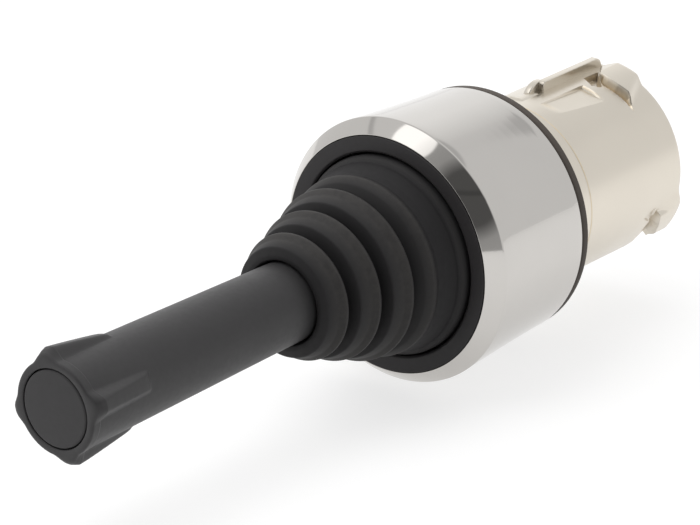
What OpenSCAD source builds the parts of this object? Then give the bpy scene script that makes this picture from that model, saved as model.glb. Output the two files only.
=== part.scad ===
// Panel-mount joystick head for a 22 mm panel hole: ribbed stick, rubber boot,
// bezel, panel gasket and a die-cast collar that goes through the panel.
// Frame: +Z up, the locating key just left of it, stick towards -Y, collar towards +Y,
// origin on the axis in the plane where the gasket meets the panel.

/* [Bezel] */
// Largest radius of the bezel, at its front chamfer
bezel_r = 14.65; // [14.2:0.05:16]
// Radius of the bezel at its rear edge
bezel_base_r = 13.8; // [13.4:0.05:14.1]
// Height of the bezel from gasket to front edge
bezel_h = 16.2; // [15.6:0.1:19]
// Length of the front chamfer along the axis
bezel_chamfer_h = 1.8; // [1:0.1:2.4]
// Radius of the bezel's front opening
bezel_mouth_r = 13.05; // [12.9:0.05:13.4]
// Height of the rear band under the tapered wall
bezel_band_h = 2.4; // [1.5:0.1:4]
// Wall of the bezel's skirt round the cup, at its rear edge
bezel_wall = 1.35; // [1.2:0.05:1.5]

/* [Gasket] */
// Thickness of the panel gasket
gasket_t = 1.3; // [0.8:0.1:2.5]
// Outer radius of the panel gasket
gasket_r = 13.7; // [12.5:0.05:14]

/* [Collar] */
// Radius of the barrel behind the panel
barrel_r = 10.25; // [10.2:0.05:10.6]
// Length of the collar behind the panel
barrel_l = 21.55; // [21.3:0.05:26]
// Radius of the neck that sits in the panel hole
neck_r = 10.0; // [9.6:0.05:10.15]
// Length of the neck
neck_l = 4.3; // [3:0.1:6]
// Depth of the stepped front bore, from the panel seat
shoulder_y = 4.2; // [3.4:0.1:4.6]
// Radius of the front bore, where the plunger heads move
front_bore_r = 8.0; // [7.9:0.05:8.15]
// Radius of the bore that takes the guide plate
guide_bore_r = 8.5; // [8.3:0.05:8.6]
// Radius of the open rear mouth
mouth_r = 8.8; // [8.7:0.05:8.9]
// Depth of the open rear mouth
mouth_l = 5.35; // [4.5:0.05:5.4]
// Wall of the cup
cup_wall = 1.0; // [0.8:0.05:1.1]
// Thickness of the cup's floor
cup_floor = 1.7; // [1.2:0.1:2]
// Thickness of the locating key
key_w = 0.8; // [0.6:0.05:1.2]
// Height of the key's top above the axis
key_top_z = 11.35; // [11.3:0.05:12.6]
// Start of the key along the barrel
key_y0 = 10.2; // [9.6:0.1:12]
// End of the key along the barrel
key_y1 = 21.1; // [19.5:0.1:21.2]
// Corner radius of the rear lugs from the axis
lug_r = 11.1; // [10.8:0.05:11.2]
// Length of the rear lugs along the barrel
lug_l = 3.9; // [3.5:0.05:4]
// Depth of the bare label recess
label_depth = 0.45; // [0.2:0.05:0.8]
// Depth of the bayonet slots
slot_depth = 0.95; // [0.5:0.05:1.05]

/* [Boot] */
// Rubber thickness of the boot
boot_wall = 0.6; // [0.5:0.05:0.7]
// Number of folded rims
fold_n = 3; // [2:1:3]
// Distance between rims
fold_pitch = 3.8; // [3.7:0.05:3.9]
// Crest radius of the rim next to the stick
fold_r0 = 6.9; // [6.8:0.05:7.2]
// Growth of the crest radius from rim to rim
fold_step = 1.25; // [1.1:0.05:1.3]
// Depth of the valleys behind the rims
fold_depth = 1.7; // [1.4:0.05:1.75]
// Distance from the last rim back to the bezel's front edge
skirt_l = 7.15; // [6.9:0.05:7.5]
// Outer radius of the skirt inside the retaining ring
skirt_r = 10.9; // [10.6:0.05:11.0]
// Gap between the stick and the boot's mouth
boot_gap = 0.3; // [0.2:0.05:0.4]

/* [Retaining ring] */
// Inner radius of the retaining ring
ring_in_r = 11.2; // [11.15:0.05:11.6]
// Height of the retaining ring
ring_h = 2.9; // [2.2:0.1:3]

/* [Stick] */
// Length of the stick in front of the panel seat
stick_reach = 69.2; // [67:0.1:80]
// Radius of the stick at its front face
stick_front_r = 4.92; // [4.85:0.02:5.3]
// Radius of the stick at its rear end
stick_rear_r = 4.25; // [3.9:0.02:4.35]
// Outer radius of the grip ribs
rib_r = 6.05; // [5.5:0.05:6.6]
// Width of a grip rib
rib_w = 2.0; // [1.2:0.1:3]
// Length of a grip rib
rib_l = 9.0; // [6:0.1:14]
// Angle of the first rib from +X towards +Z
rib_angle = 16; // [0:0.5:89]
// Radius of the end cap
cap_r = 4.1; // [3.6:0.05:4.15]
// Width of the groove round the end cap
cap_gap = 0.2; // [0.1:0.05:0.3]

/* [Mechanism] */
// Distance from the panel seat forward to the tilt centre
pivot_depth = 8.0; // [7.9:0.1:8.4]
// Largest tilt each way in degrees
tilt_max = 15; // [8:1:15]
// Radius of the steel shaft in the stick
shaft_r = 2.2; // [1.9:0.05:2.4]
// Radius of the shaft's hub at the tilt centre
hub_r = 3.0; // [2.8:0.05:3.2]
// Inner radius of the gimbal ring
gimbal_in_r = 5.0; // [4.7:0.05:5.1]
// Gap between the gimbal ring and the pivot frame
gimbal_gap = 1.2; // [1.1:0.05:1.5]
// Wall of the pivot frame
frame_wall = 2.55; // [2.3:0.05:2.7]
// Thickness of the gimbal ring
gimbal_t = 3.4; // [3:0.1:3.8]
// Radius of the two gimbal pins
gimbal_pin_r = 1.1; // [0.9:0.05:1.2]
// Radius of the cross pin in the hub
cross_pin_r = 0.95; // [0.8:0.05:1.1]
// Distance of the plungers from the axis
plunger_offset = 5.6; // [5.4:0.05:5.65]
// Radius of a plunger's stem
stem_r = 1.2; // [1:0.05:1.3]
// Radius of a plunger's head
head_r = 1.7; // [1.65:0.05:1.75]
// Thickness of a plunger's head
head_t = 1.1; // [0.8:0.1:1.3]
// Radius of the rocker's four ball tips
ball_r = 1.1; // [0.9:0.05:1.15]
// Distance from the tilt centre back to the ball centres
ball_depth = 5.0; // [4.9:0.05:5.2]
// Wire radius of the plunger springs
wire_r = 0.22; // [0.15:0.01:0.25]
// Working turns of a plunger spring
spring_turns = 7; // [4:1:9]
// Depth of the spring bores in the guide plate
spring_bore_l = 5.0; // [4.6:0.1:6]
// Gap between a plunger's stem and its spring
coil_gap = 0.3; // [0.2:0.02:0.34]

/* [Fits] */
// Radial clearance of a running shaft
run_gap = 0.05; // [0.02:0.01:0.1]
// Clearance of pieces that are pressed or clamped together
seat_gap = 0.05; // [0.02:0.01:0.1]
// Clearance of a pressed pin or a thread, drawn plain
press_gap = 0.01; // [0:0.005:0.02]
// Gap from rocker to plunger heads at rest
rest_gap = 0.25; // [0.2:0.01:0.35]

/* [Hidden] */
$fn = 96;
eps = 0.01;

// outer radius of the cup inside the bezel
cup_r = bezel_base_r - bezel_wall - seat_gap;

// places along the axis, in front of the panel seat negative
bezel_front_y = -gasket_t - bezel_h;
pivot_y = -pivot_depth;
lug_front_y = barrel_l - lug_l;
// ledge inside the bezel that carries the boot's flange
flange_t = 1.0;
ledge_y = bezel_front_y + ring_h + flange_t + seat_gap;
cup_top_y = ledge_y + seat_gap;
cup_floor_y = -gasket_t - cup_floor;

// boot
first_crest_y = bezel_front_y - skirt_l - fold_pitch * (fold_n - 1);
boot_mouth_y = first_crest_y - 2.25;

// stick
stick_front_y = -stick_reach;
stick_rear_y = boot_mouth_y + 4.5;
rib_n = 4;
cap_t = 1.9;
cap_skirt_l = 1.5;
cap_seat_y = stick_front_y + cap_t + seat_gap;
nut_pocket_r = 3.3;
nut_pocket_l = 4.2;
stick_floor_t = 3.0;
stick_floor_y = cap_seat_y + nut_pocket_l;
shaft_shoulder_y = stick_floor_y + stick_floor_t;
thread_r = 1.5;
washer_t = 0.5;
nut_t = 1.8;
nut_r = 3.0;

// tilting parts
hub_front = 3.6;
hub_rear = 3.9;
spigot_r = 1.2;
spigot_flat = 1.8;
rocker_t = 1.5;
rocker_core_r = 2.1;
rocker_front = ball_depth - 1.0;
clip_r = 1.9;
clip_t = 0.5;
spigot_end = rocker_front + rocker_t + clip_t + 0.5;
arm_w = 2.0;

// plungers and their guide
head_front_y = pivot_y + ball_depth + ball_r + rest_gap;
head_rear_y = head_front_y + head_t;
mouth_y = barrel_l - mouth_l;
guide_rear_y = mouth_y - 0.6;
guide_front_y = shoulder_y;
guide_plate_t = 3.0;
coil_r = stem_r + wire_r + coil_gap;
spring_bore_r = coil_r + wire_r + coil_gap;
spring_seat_y = shoulder_y + spring_bore_l;
tower_wall = 0.5;
plunger_tip_y = mouth_y - 0.2;
coil_sides = 6;
coil_steps = 16;

// screws between guide plate and pivot frame
screw_offset = 6.6;
screw_r = 0.75;
screw_head_r = 1.3;
screw_head_t = 1.1;
screw_seat_y = shoulder_y + 3.8;
screw_l = 9.0;
pillar_r = 1.2;
web_t = 1.15;
web_w = 2 * pillar_r - 0.3;

// pivot frame
frame_out_r = cup_r - cup_wall - seat_gap;
frame_in_r = frame_out_r - frame_wall;
gimbal_out_r = frame_in_r - gimbal_gap;
frame_front_y = cup_top_y + 0.2;
frame_rear_y = cup_floor_y - seat_gap;

// the part's axis runs along +Y: local z becomes y
module along_y() {
    rotate([-90, 0, 0]) children();
}

// plain cylinder on the axis from y0 to y1
module rod(r, y0, y1) {
    along_y() translate([0, 0, y0]) cylinder(r = r, h = y1 - y0);
}

// cylinder parallel to the axis at polar place (d, a), a from +X towards +Z
module rod_at(d, a, r, y0, y1) {
    translate([d * cos(a), 0, d * sin(a)]) rod(r, y0, y1);
}

// block of rotation between two angles, two radii and two places on the axis
module arc_block(a0, a1, r0, r1, y0, y1) {
    along_y() rotate([0, 0, -a1]) rotate_extrude(angle = a1 - a0)
        translate([r0, y0]) square([r1 - r0, y1 - y0]);
}

// turned shape from points [radius, y]
module turned(points) {
    along_y() rotate_extrude() polygon(points);
}

// ---------------------------------------------------------------- collar
module collar_body() {
    edge = 0.25;
    turned([
        [front_bore_r, cup_floor_y],
        [cup_r - cup_wall, cup_floor_y],
        [cup_r - cup_wall, cup_top_y],
        [cup_r, cup_top_y],
        [cup_r, -gasket_t],
        [neck_r, -gasket_t],
        [neck_r, neck_l],
        [barrel_r, neck_l + barrel_r - neck_r],
        [barrel_r, barrel_l - edge],
        [barrel_r - edge, barrel_l],
        [mouth_r, barrel_l],
        [mouth_r, mouth_y],
        [guide_bore_r, mouth_y],
        [guide_bore_r, shoulder_y],
        [front_bore_r, shoulder_y]
    ]);
}

// thin locating key with a bevelled rear end, a rounded lead-in hump, a shelf and a low foot
module collar_key() {
    root_z = barrel_r - 0.75;
    key_x = -0.3;
    hump_x0 = -1.6;
    hump_r = 2.28;
    hump_y = key_y0 + 0.2;
    hump_z = key_top_z - 0.07 - hump_r;
    translate([key_x - key_w, 0, 0]) rotate([90, 0, 90]) linear_extrude(key_w) polygon([
        [key_y0, root_z],
        [key_y0, key_top_z - 0.3],
        [key_y0 + 0.4, key_top_z],
        [key_y1 - 1.1, key_top_z],
        [key_y1 - 0.5, key_top_z - 0.35],
        [key_y1, root_z]
    ]);
    intersection() {
        translate([hump_x0, hump_y, hump_z]) rotate([0, 90, 0]) cylinder(r = hump_r, h = 0.85);
        translate([hump_x0 - 1, hump_y - hump_r - 1, root_z]) cube([3, 2 * hump_r + 2, hump_r]);
    }
    translate([-1.95, 6.5, root_z + 0.05]) cube([1.55, 3, 0.9]);
    translate([-3.4, neck_l + 0.4, root_z - 0.05]) cube([1.7, 2.4, 0.95]);
}

// rear lug on the barrel, its outline across the axis from points [radius, angle]
module collar_lug(top_r, front_y, outline) {
    intersection() {
        rod(top_r, front_y, barrel_l - 0.07);
        rotate([90, 0, 0]) translate([0, 0, -barrel_l - 1]) linear_extrude(barrel_l + 1 - front_y + 1)
            polygon([for (p = outline) [p[0] * cos(p[1]), p[0] * sin(p[1])]]);
    }
}

// an upper lug with a ramp towards the key, and a flatter one across the lower side
module collar_lugs() {
    root_r = mouth_r + 0.3;
    foot_r = barrel_r - 0.15;
    collar_lug(lug_r, lug_front_y, [
        [root_r, 92],
        [foot_r, 92.5],
        [lug_r + 0.2, 86],
        [lug_r + 2, 80],
        [lug_r + 2, 70],
        [lug_r - 0.2, 65.5],
        [foot_r, 55],
        [root_r, 55]
    ]);
    collar_lug(lug_r - 0.25, lug_front_y + 0.1, [
        [root_r, -13],
        [foot_r, -12.5],
        [lug_r, -19],
        [lug_r + 2, -25],
        [lug_r + 2, -33],
        [lug_r, -38],
        [foot_r, -50],
        [root_r, -50]
    ]);
}

// pocket with a flat floor at distance r0 from the axis, outline [y, tangential] seen from angle a
module flat_pocket(a, r0, points) {
    rotate([0, -a, 0]) translate([r0, 0, 0]) rotate([90, 0, 90]) linear_extrude(3) polygon(points);
}

module collar_cuts() {
    slot_front_y = lug_front_y - 0.65;
    slot_rear_y = lug_front_y + 0.05;
    // bare label recess, deepest at its upper rear corner
    rotate([0, -84, 0]) translate([barrel_r - label_depth, 14.9, -4.6]) rotate([0, 0, 2.5])
        translate([0, -7, 0]) cube([3, 7, 4.25]);
    // pocket beside the key
    flat_pocket(83, barrel_r - 0.6, [[16.2, -1.0], [16.2, 0.8], [17.5, 0.8], [17.5, -0.4], [17.0, -1.0]]);
    // upper bayonet slot, a crescent whose rear wall is the lug's front
    flat_pocket(67, barrel_r - slot_depth, [
        [slot_front_y, 1.25],
        [slot_front_y + 0.1, -1.5],
        [slot_front_y + 0.15, -3.0],
        [slot_rear_y - 0.05, -2.6],
        [slot_rear_y + 0.3, -1.8],
        [slot_rear_y + 0.2, -0.8],
        [slot_rear_y, 0],
        [slot_rear_y, 2.5]
    ]);
    // lower bayonet slot, skewed, with a lead-in ramp
    flat_pocket(-35, barrel_r - slot_depth, [
        [slot_front_y + 0.9, 2.8],
        [slot_front_y + 0.1, 1.4],
        [slot_front_y - 0.4, 0],
        [slot_front_y - 0.4, -4.2],
        [slot_rear_y + 0.25, -4.2],
        [slot_rear_y + 0.25, 0],
        [slot_rear_y + 0.55, 2.3]
    ]);
    rotate([0, 55, 0]) translate([barrel_r - slot_depth - 0.1, slot_front_y - 0.35, -1.9])
        rotate([0, 0, 15]) translate([0, -4, 0]) cube([3, 4, 3.3]);
}

module collar() {
    color("#c9c3b8") difference() {
        union() {
            collar_body();
            collar_key();
            collar_lugs();
        }
        collar_cuts();
    }
}

// ---------------------------------------------------------------- front
module bezel() {
    base_y = -gasket_t;
    edge = 0.12;
    bore_r = cup_r + seat_gap;
    color("#b9b6b2") turned([
        [bore_r, base_y],
        [bezel_base_r - edge, base_y],
        [bezel_base_r, base_y - edge],
        [bezel_base_r + 0.04, base_y - bezel_band_h],
        [bezel_base_r + 0.01, base_y - bezel_band_h - 0.5],
        [bezel_r - 0.02, bezel_front_y + bezel_chamfer_h + edge],
        [bezel_r - 0.07, bezel_front_y + bezel_chamfer_h - edge / 2],
        [bezel_mouth_r + edge, bezel_front_y],
        [bezel_mouth_r, bezel_front_y + edge],
        [bezel_mouth_r, ledge_y],
        [bore_r, ledge_y]
    ]);
}

module gasket() {
    lip = 0.25;
    color("#4c4743") turned([
        [neck_r + seat_gap, -gasket_t],
        [gasket_r - lip, -gasket_t],
        [gasket_r, -gasket_t + lip],
        [gasket_r, -lip],
        [gasket_r - lip, 0],
        [neck_r + seat_gap, 0]
    ]);
}

module retaining_ring() {
    edge = 0.2;
    out_r = bezel_mouth_r - seat_gap;
    rear_y = bezel_front_y + ring_h;
    color("#333033") turned([
        [ring_in_r, bezel_front_y + edge],
        [ring_in_r + edge, bezel_front_y],
        [out_r - edge / 2, bezel_front_y],
        [out_r, bezel_front_y + edge / 2],
        [out_r, rear_y],
        [ring_in_r, rear_y]
    ]);
}

// ---------------------------------------------------------------- boot
function unit(v) = v / norm(v);
function left(v) = [-v[1], v[0]];

// the corners of a line moved inwards by d, without its two ends
function inset(line, d) = [for (i = [1 : len(line) - 2])
    let (m = left(unit(line[i] - line[i - 1])) + left(unit(line[i + 1] - line[i])))
    line[i] + m * 2 * d / (m * m)];

// one rim: front cone, crest, undercut back and valley; the inside follows a pointed crest
function rim(r, y, blunt) = concat(
    [[r - 0.92, y - 2.0]],
    blunt ? [[r, y - 0.12], [r - 0.05, y + 0.28]] : [[r + 0.17, y + 0.23]],
    [[r - fold_depth + 0.15, y + 0.62], [r - fold_depth, y + 1.1], [r - fold_depth + 0.5, y + 1.5]]);

function boot_line(mouth_r, blunt) = concat(
    [[mouth_r + 0.6, boot_mouth_y]],
    [for (i = [0 : fold_n - 1], p = rim(fold_r0 + fold_step * i, first_crest_y + fold_pitch * i, blunt)) p],
    [[skirt_r - 1.35, bezel_front_y - 5.35], [skirt_r - 0.65, bezel_front_y - 3.8],
        [skirt_r - 0.52, bezel_front_y - 2.7], [skirt_r - 0.48, bezel_front_y - 1.5],
        [skirt_r - 0.2, bezel_front_y - 0.4], [skirt_r, bezel_front_y + 0.3],
        [skirt_r, ledge_y - flange_t]]);

module boot() {
    mouth_in_r = stick_r(boot_mouth_y) + boot_gap;
    flange_r = bezel_mouth_r - 0.15;
    rear_y = ledge_y - seat_gap;
    inner = inset(boot_line(mouth_in_r, false), boot_wall);
    color("#2d2c2d") turned(concat(
        [[mouth_in_r, boot_mouth_y + 1.2], [mouth_in_r, boot_mouth_y + 0.3]],
        boot_line(mouth_in_r, true),
        [[flange_r, ledge_y - flange_t], [flange_r, rear_y], [skirt_r - boot_wall, rear_y]],
        [for (i = [len(inner) - 1 : -1 : 0]) inner[i]]));
}

// ---------------------------------------------------------------- stick
function stick_r(y) = stick_front_r
    + (stick_rear_r - stick_front_r) * (y - stick_front_y) / (stick_rear_y - stick_front_y);

module stick_rib(a) {
    rib_rear_y = stick_front_y + rib_l;
    slope = 1.4;
    rotate([0, -a, 0]) translate([0, 0, -rib_w / 2]) linear_extrude(rib_w) polygon([
        [stick_front_r - 0.6, stick_front_y + 0.3],
        [rib_r - 0.35, stick_front_y + 0.3],
        [rib_r, stick_front_y + 0.8],
        [rib_r - 0.1, rib_rear_y - slope],
        [stick_r(rib_rear_y) - 0.1, rib_rear_y],
        [stick_front_r - 0.6, rib_rear_y]
    ]);
}

module stick() {
    edge = 0.7;
    color("#454344") difference() {
        union() {
            turned([
                [0, stick_front_y],
                [stick_front_r - edge, stick_front_y],
                [stick_front_r - edge * 0.3, stick_front_y + edge * 0.3],
                [stick_front_r, stick_front_y + edge],
                [stick_rear_r, stick_rear_y],
                [0, stick_rear_y]
            ]);
            for (i = [0 : rib_n - 1]) stick_rib(rib_angle + i * 360 / rib_n);
        }
        rod(cap_r + cap_gap, stick_front_y - 1, cap_seat_y);
        rod(nut_pocket_r, stick_front_y - 1, stick_floor_y);
        rod(thread_r + seat_gap, stick_floor_y - 1, shaft_shoulder_y + 1);
        rod(shaft_r + seat_gap, shaft_shoulder_y, stick_rear_y + 1);
    }
}

module end_cap() {
    edge = 0.25;
    skirt_r1 = nut_pocket_r - seat_gap;
    color("#3e3c3e") turned([
        [0, stick_front_y],
        [cap_r - edge, stick_front_y + 0.05],
        [cap_r, stick_front_y + 0.05 + edge],
        [cap_r, cap_seat_y - seat_gap],
        [skirt_r1, cap_seat_y - seat_gap],
        [skirt_r1, cap_seat_y + cap_skirt_l],
        [skirt_r1 - 0.6, cap_seat_y + cap_skirt_l],
        [skirt_r1 - 0.6, cap_seat_y - 0.6],
        [0, cap_seat_y - 0.6]
    ]);
}

module lock_washer() {
    color("#b5b2aa") difference() {
        rod(nut_r, stick_floor_y - washer_t, stick_floor_y - eps);
        rod(thread_r + 0.1, stick_floor_y - washer_t - 1, stick_floor_y + 1);
    }
}

module stick_nut() {
    rear_y = stick_floor_y - washer_t - eps;
    color("#b5b2aa") difference() {
        along_y() translate([0, 0, rear_y - nut_t]) cylinder(r = nut_r, h = nut_t, $fn = 6);
        rod(thread_r + press_gap, rear_y - nut_t - 1, rear_y + 1);
    }
}

// ---------------------------------------------------------------- lever
module lever_shaft() {
    groove_y = pivot_y + rocker_front + rocker_t + 0.05;
    color("#a9a9a6") difference() {
        union() {
            rod(thread_r, stick_floor_y - washer_t - nut_t - 0.6, shaft_shoulder_y);
            rod(shaft_r, shaft_shoulder_y, pivot_y);
            rod(hub_r, pivot_y - hub_front, pivot_y + hub_rear);
            intersection() {
                rod(spigot_r, pivot_y, pivot_y + spigot_end);
                translate([-spigot_flat / 2, pivot_y, -spigot_r])
                    cube([spigot_flat, spigot_end, 2 * spigot_r]);
            }
        }
        translate([0, pivot_y, -hub_r - 1]) cylinder(r = cross_pin_r + press_gap, h = 2 * hub_r + 2);
        difference() {
            rod(spigot_r + 1, groove_y, groove_y + clip_t);
            rod(spigot_flat / 2 - 0.2, groove_y - 1, groove_y + clip_t + 1);
        }
    }
}

module cross_pin() {
    half_l = gimbal_out_r - 0.4;
    color("#b0aea8") translate([0, pivot_y, -half_l]) cylinder(r = cross_pin_r, h = 2 * half_l);
}

module rocker_arm(a) {
    tip_r = plunger_offset;
    rotate([0, -a, 0]) {
        translate([0, pivot_y + rocker_front, -arm_w / 2]) cube([tip_r, rocker_t, arm_w]);
        translate([tip_r, pivot_y + ball_depth, 0]) sphere(r = ball_r);
    }
}

module rocker() {
    front_y = pivot_y + rocker_front;
    color("#d8d4c8") difference() {
        union() {
            rod(rocker_core_r, front_y, front_y + rocker_t);
            for (i = [0 : 3]) rocker_arm(90 * i);
        }
        intersection() {
            rod(spigot_r + seat_gap, front_y - 1, front_y + rocker_t + 1);
            translate([-spigot_flat / 2 - seat_gap, front_y - 1, -spigot_r - 1])
                cube([spigot_flat + 2 * seat_gap, rocker_t + 2, 2 * spigot_r + 2]);
        }
    }
}

module rocker_clip() {
    clip_y = pivot_y + rocker_front + rocker_t + 0.05 + eps;
    color("#8f8f8c") difference() {
        rod(clip_r, clip_y, clip_y + clip_t - 2 * eps);
        rod(spigot_flat / 2 - 0.2 + press_gap, clip_y - 1, clip_y + 1);
        translate([0, clip_y - 1, -0.6]) cube([4, 3, 1.2]);
    }
}

// ---------------------------------------------------------------- gimbal
module gimbal_ring() {
    color("#c8c2b0") difference() {
        rod(gimbal_out_r, pivot_y - gimbal_t / 2, pivot_y + gimbal_t / 2);
        rod(gimbal_in_r, pivot_y - gimbal_t, pivot_y + gimbal_t);
        translate([0, pivot_y, -gimbal_out_r - 1])
            cylinder(r = cross_pin_r + run_gap, h = 2 * gimbal_out_r + 2);
        translate([-gimbal_out_r - 1, pivot_y, 0]) rotate([0, 90, 0])
            cylinder(r = gimbal_pin_r + press_gap, h = 2 * gimbal_out_r + 2);
    }
}

module gimbal_pin(side) {
    inner_x = gimbal_in_r + 0.2;
    outer_x = frame_out_r - 0.1;
    start_x = side > 0 ? inner_x : -outer_x;
    color("#b0aea8") translate([start_x, pivot_y, 0]) rotate([0, 90, 0])
        cylinder(r = gimbal_pin_r, h = outer_x - inner_x);
}

module gimbal_pin_left() {
    gimbal_pin(-1);
}

module gimbal_pin_right() {
    gimbal_pin(1);
}

// ---------------------------------------------------------------- fixed inner parts
module pivot_frame() {
    pillar_end_y = shoulder_y - seat_gap;
    pilot_y = screw_seat_y - screw_l - 0.3;
    pillar_front_y = frame_rear_y - web_t - 0.1;
    color("#5b5d60") difference() {
        union() {
            difference() {
                rod(frame_out_r, frame_front_y, frame_rear_y);
                rod(frame_in_r, frame_front_y - 1, frame_rear_y + 1);
            }
            for (i = [0 : 3]) {
                rod_at(screw_offset, 45 + 90 * i, pillar_r, pillar_front_y, pillar_end_y);
                rotate([0, -45 - 90 * i, 0]) translate([screw_offset, frame_rear_y - web_t, -web_w / 2])
                    cube([frame_in_r + 0.5 - screw_offset, web_t - 0.15, web_w]);
            }
        }
        translate([-frame_out_r - 1, pivot_y, 0]) rotate([0, 90, 0])
            cylinder(r = gimbal_pin_r + run_gap, h = 2 * frame_out_r + 2);
        for (i = [0 : 3])
            rod_at(screw_offset, 45 + 90 * i, screw_r + press_gap, pilot_y, pillar_end_y + 1);
    }
}

module guide_plate() {
    out_r = guide_bore_r - seat_gap;
    rim = 0.7;
    color("#e4e0d6") difference() {
        union() {
            rod(out_r, guide_front_y, guide_front_y + guide_plate_t);
            difference() {
                rod(out_r, guide_front_y, guide_rear_y);
                rod(out_r - rim, guide_front_y, guide_rear_y + 1);
            }
            for (i = [0 : 3]) {
                rod_at(plunger_offset, 90 * i, spring_bore_r + tower_wall, guide_front_y, spring_seat_y + 0.8);
                rod_at(plunger_offset, 90 * i, stem_r + 0.9, spring_seat_y, guide_rear_y);
                rod_at(screw_offset, 45 + 90 * i, screw_head_r + 0.2, guide_front_y, screw_seat_y);
            }
        }
        for (i = [0 : 3]) {
            rod_at(plunger_offset, 90 * i, spring_bore_r, guide_front_y - 1, spring_seat_y);
            rod_at(plunger_offset, 90 * i, stem_r + run_gap, guide_front_y, guide_rear_y + 1);
            rod_at(screw_offset, 45 + 90 * i, screw_r + 0.1, guide_front_y - 1, guide_rear_y + 1);
            rod_at(screw_offset, 45 + 90 * i, screw_head_r + 0.2, screw_seat_y, guide_rear_y + 1);
        }
    }
}

module guide_screws() {
    socket_r = 0.65;
    color("#9a9a98") for (i = [0 : 3]) difference() {
        union() {
            rod_at(screw_offset, 45 + 90 * i, screw_r, screw_seat_y - screw_l, screw_seat_y + 0.5);
            rod_at(screw_offset, 45 + 90 * i, screw_head_r, screw_seat_y + eps, screw_seat_y + screw_head_t);
        }
        translate([screw_offset * cos(45 + 90 * i), 0, screw_offset * sin(45 + 90 * i)])
            along_y() translate([0, 0, screw_seat_y + screw_head_t - 0.6])
                cylinder(r = socket_r, h = 1, $fn = 6);
    }
}

// ---------------------------------------------------------------- plungers
module plunger(a) {
    edge = 0.2;
    color("#c23b2e") translate([plunger_offset * cos(a), 0, plunger_offset * sin(a)]) turned([
        [0, head_front_y],
        [head_r - edge, head_front_y],
        [head_r, head_front_y + edge],
        [head_r, head_rear_y],
        [stem_r, head_rear_y],
        [stem_r, plunger_tip_y - edge],
        [stem_r - edge, plunger_tip_y],
        [0, plunger_tip_y]
    ]);
}

module plunger_top() {
    plunger(90);
}

module plunger_bottom() {
    plunger(270);
}

module plunger_left() {
    plunger(180);
}

module plunger_right() {
    plunger(0);
}

// closed helical wire from y0 to y1, its faces worked out ring by ring
module coil(y0, y1) {
    steps = spring_turns * coil_steps;
    rise = (y1 - y0 - 2 * wire_r) / steps;
    points = [for (i = [0 : steps], j = [0 : coil_sides - 1])
        let (a = 360 * i / coil_steps, b = 360 * j / coil_sides, r = coil_r + wire_r * cos(b))
        [r * cos(a), y0 + wire_r + rise * i + wire_r * sin(b), r * sin(a)]];
    sides = [for (i = [0 : steps - 1], j = [0 : coil_sides - 1])
        let (k = (j + 1) % coil_sides)
        [i * coil_sides + k, i * coil_sides + j, (i + 1) * coil_sides + j, (i + 1) * coil_sides + k]];
    first = [for (j = [0 : coil_sides - 1]) j];
    last = [for (j = [coil_sides - 1 : -1 : 0]) steps * coil_sides + j];
    polyhedron(points, concat(sides, [first, last]));
}

module plunger_spring(a) {
    color("#bdbdb8") translate([plunger_offset * cos(a), 0, plunger_offset * sin(a)])
        coil(head_rear_y + seat_gap, spring_seat_y - seat_gap);
}

module spring_top() {
    plunger_spring(90);
}

module spring_bottom() {
    plunger_spring(270);
}

module spring_left() {
    plunger_spring(180);
}

module spring_right() {
    plunger_spring(0);
}

collar();
bezel();
gasket();
retaining_ring();
boot();
pivot_frame();
guide_plate();
guide_screws();
spring_top();
spring_bottom();
spring_left();
spring_right();
gimbal_ring();
gimbal_pin_left();
gimbal_pin_right();
lever_shaft();
stick();
end_cap();
stick_nut();
lock_washer();
cross_pin();
rocker();
rocker_clip();
plunger_top();
plunger_bottom();
plunger_left();
plunger_right();
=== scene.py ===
"""Industrial joystick head: the visible pieces, their finishes, and the studio they stand in."""

import math

import bpy
import numpy as np
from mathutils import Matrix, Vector


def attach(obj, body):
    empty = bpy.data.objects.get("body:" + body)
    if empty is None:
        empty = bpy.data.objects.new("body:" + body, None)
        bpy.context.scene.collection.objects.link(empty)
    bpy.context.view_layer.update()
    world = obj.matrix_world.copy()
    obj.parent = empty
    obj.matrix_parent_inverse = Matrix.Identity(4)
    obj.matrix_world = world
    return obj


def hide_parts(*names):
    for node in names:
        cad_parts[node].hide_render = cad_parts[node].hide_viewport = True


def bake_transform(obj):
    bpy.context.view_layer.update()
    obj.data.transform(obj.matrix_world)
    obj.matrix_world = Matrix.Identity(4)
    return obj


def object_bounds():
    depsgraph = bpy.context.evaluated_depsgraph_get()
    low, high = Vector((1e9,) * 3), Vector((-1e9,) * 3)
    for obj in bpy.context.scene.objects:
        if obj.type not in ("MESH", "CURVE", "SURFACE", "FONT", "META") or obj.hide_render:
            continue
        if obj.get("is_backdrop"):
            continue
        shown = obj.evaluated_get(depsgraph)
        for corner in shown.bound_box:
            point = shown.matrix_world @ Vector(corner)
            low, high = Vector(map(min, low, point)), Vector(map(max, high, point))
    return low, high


bl_info = {
    "name": "Joystick Head",
    "version": (1, 0, 0),
    "blender": (4, 5, 0),
    "location": "View3D > Sidebar > Joystick",
    "description": "Builds a panel-mount joystick head, its finishes and a studio",
    "category": "Object",
}

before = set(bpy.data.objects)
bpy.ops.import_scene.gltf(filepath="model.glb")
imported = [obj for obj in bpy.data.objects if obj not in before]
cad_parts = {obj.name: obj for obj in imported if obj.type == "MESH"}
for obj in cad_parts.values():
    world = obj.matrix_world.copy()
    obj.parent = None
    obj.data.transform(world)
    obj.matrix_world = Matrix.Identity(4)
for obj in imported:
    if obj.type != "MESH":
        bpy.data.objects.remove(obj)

MM = 0.001
TAU = 2 * math.pi
LONGEST_ARC = 0.45  # share of an edge that a rounded corner may take
FLAT_RIM = 0.04  # mm from a plate's rounding to the last ring of its flat end


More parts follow.
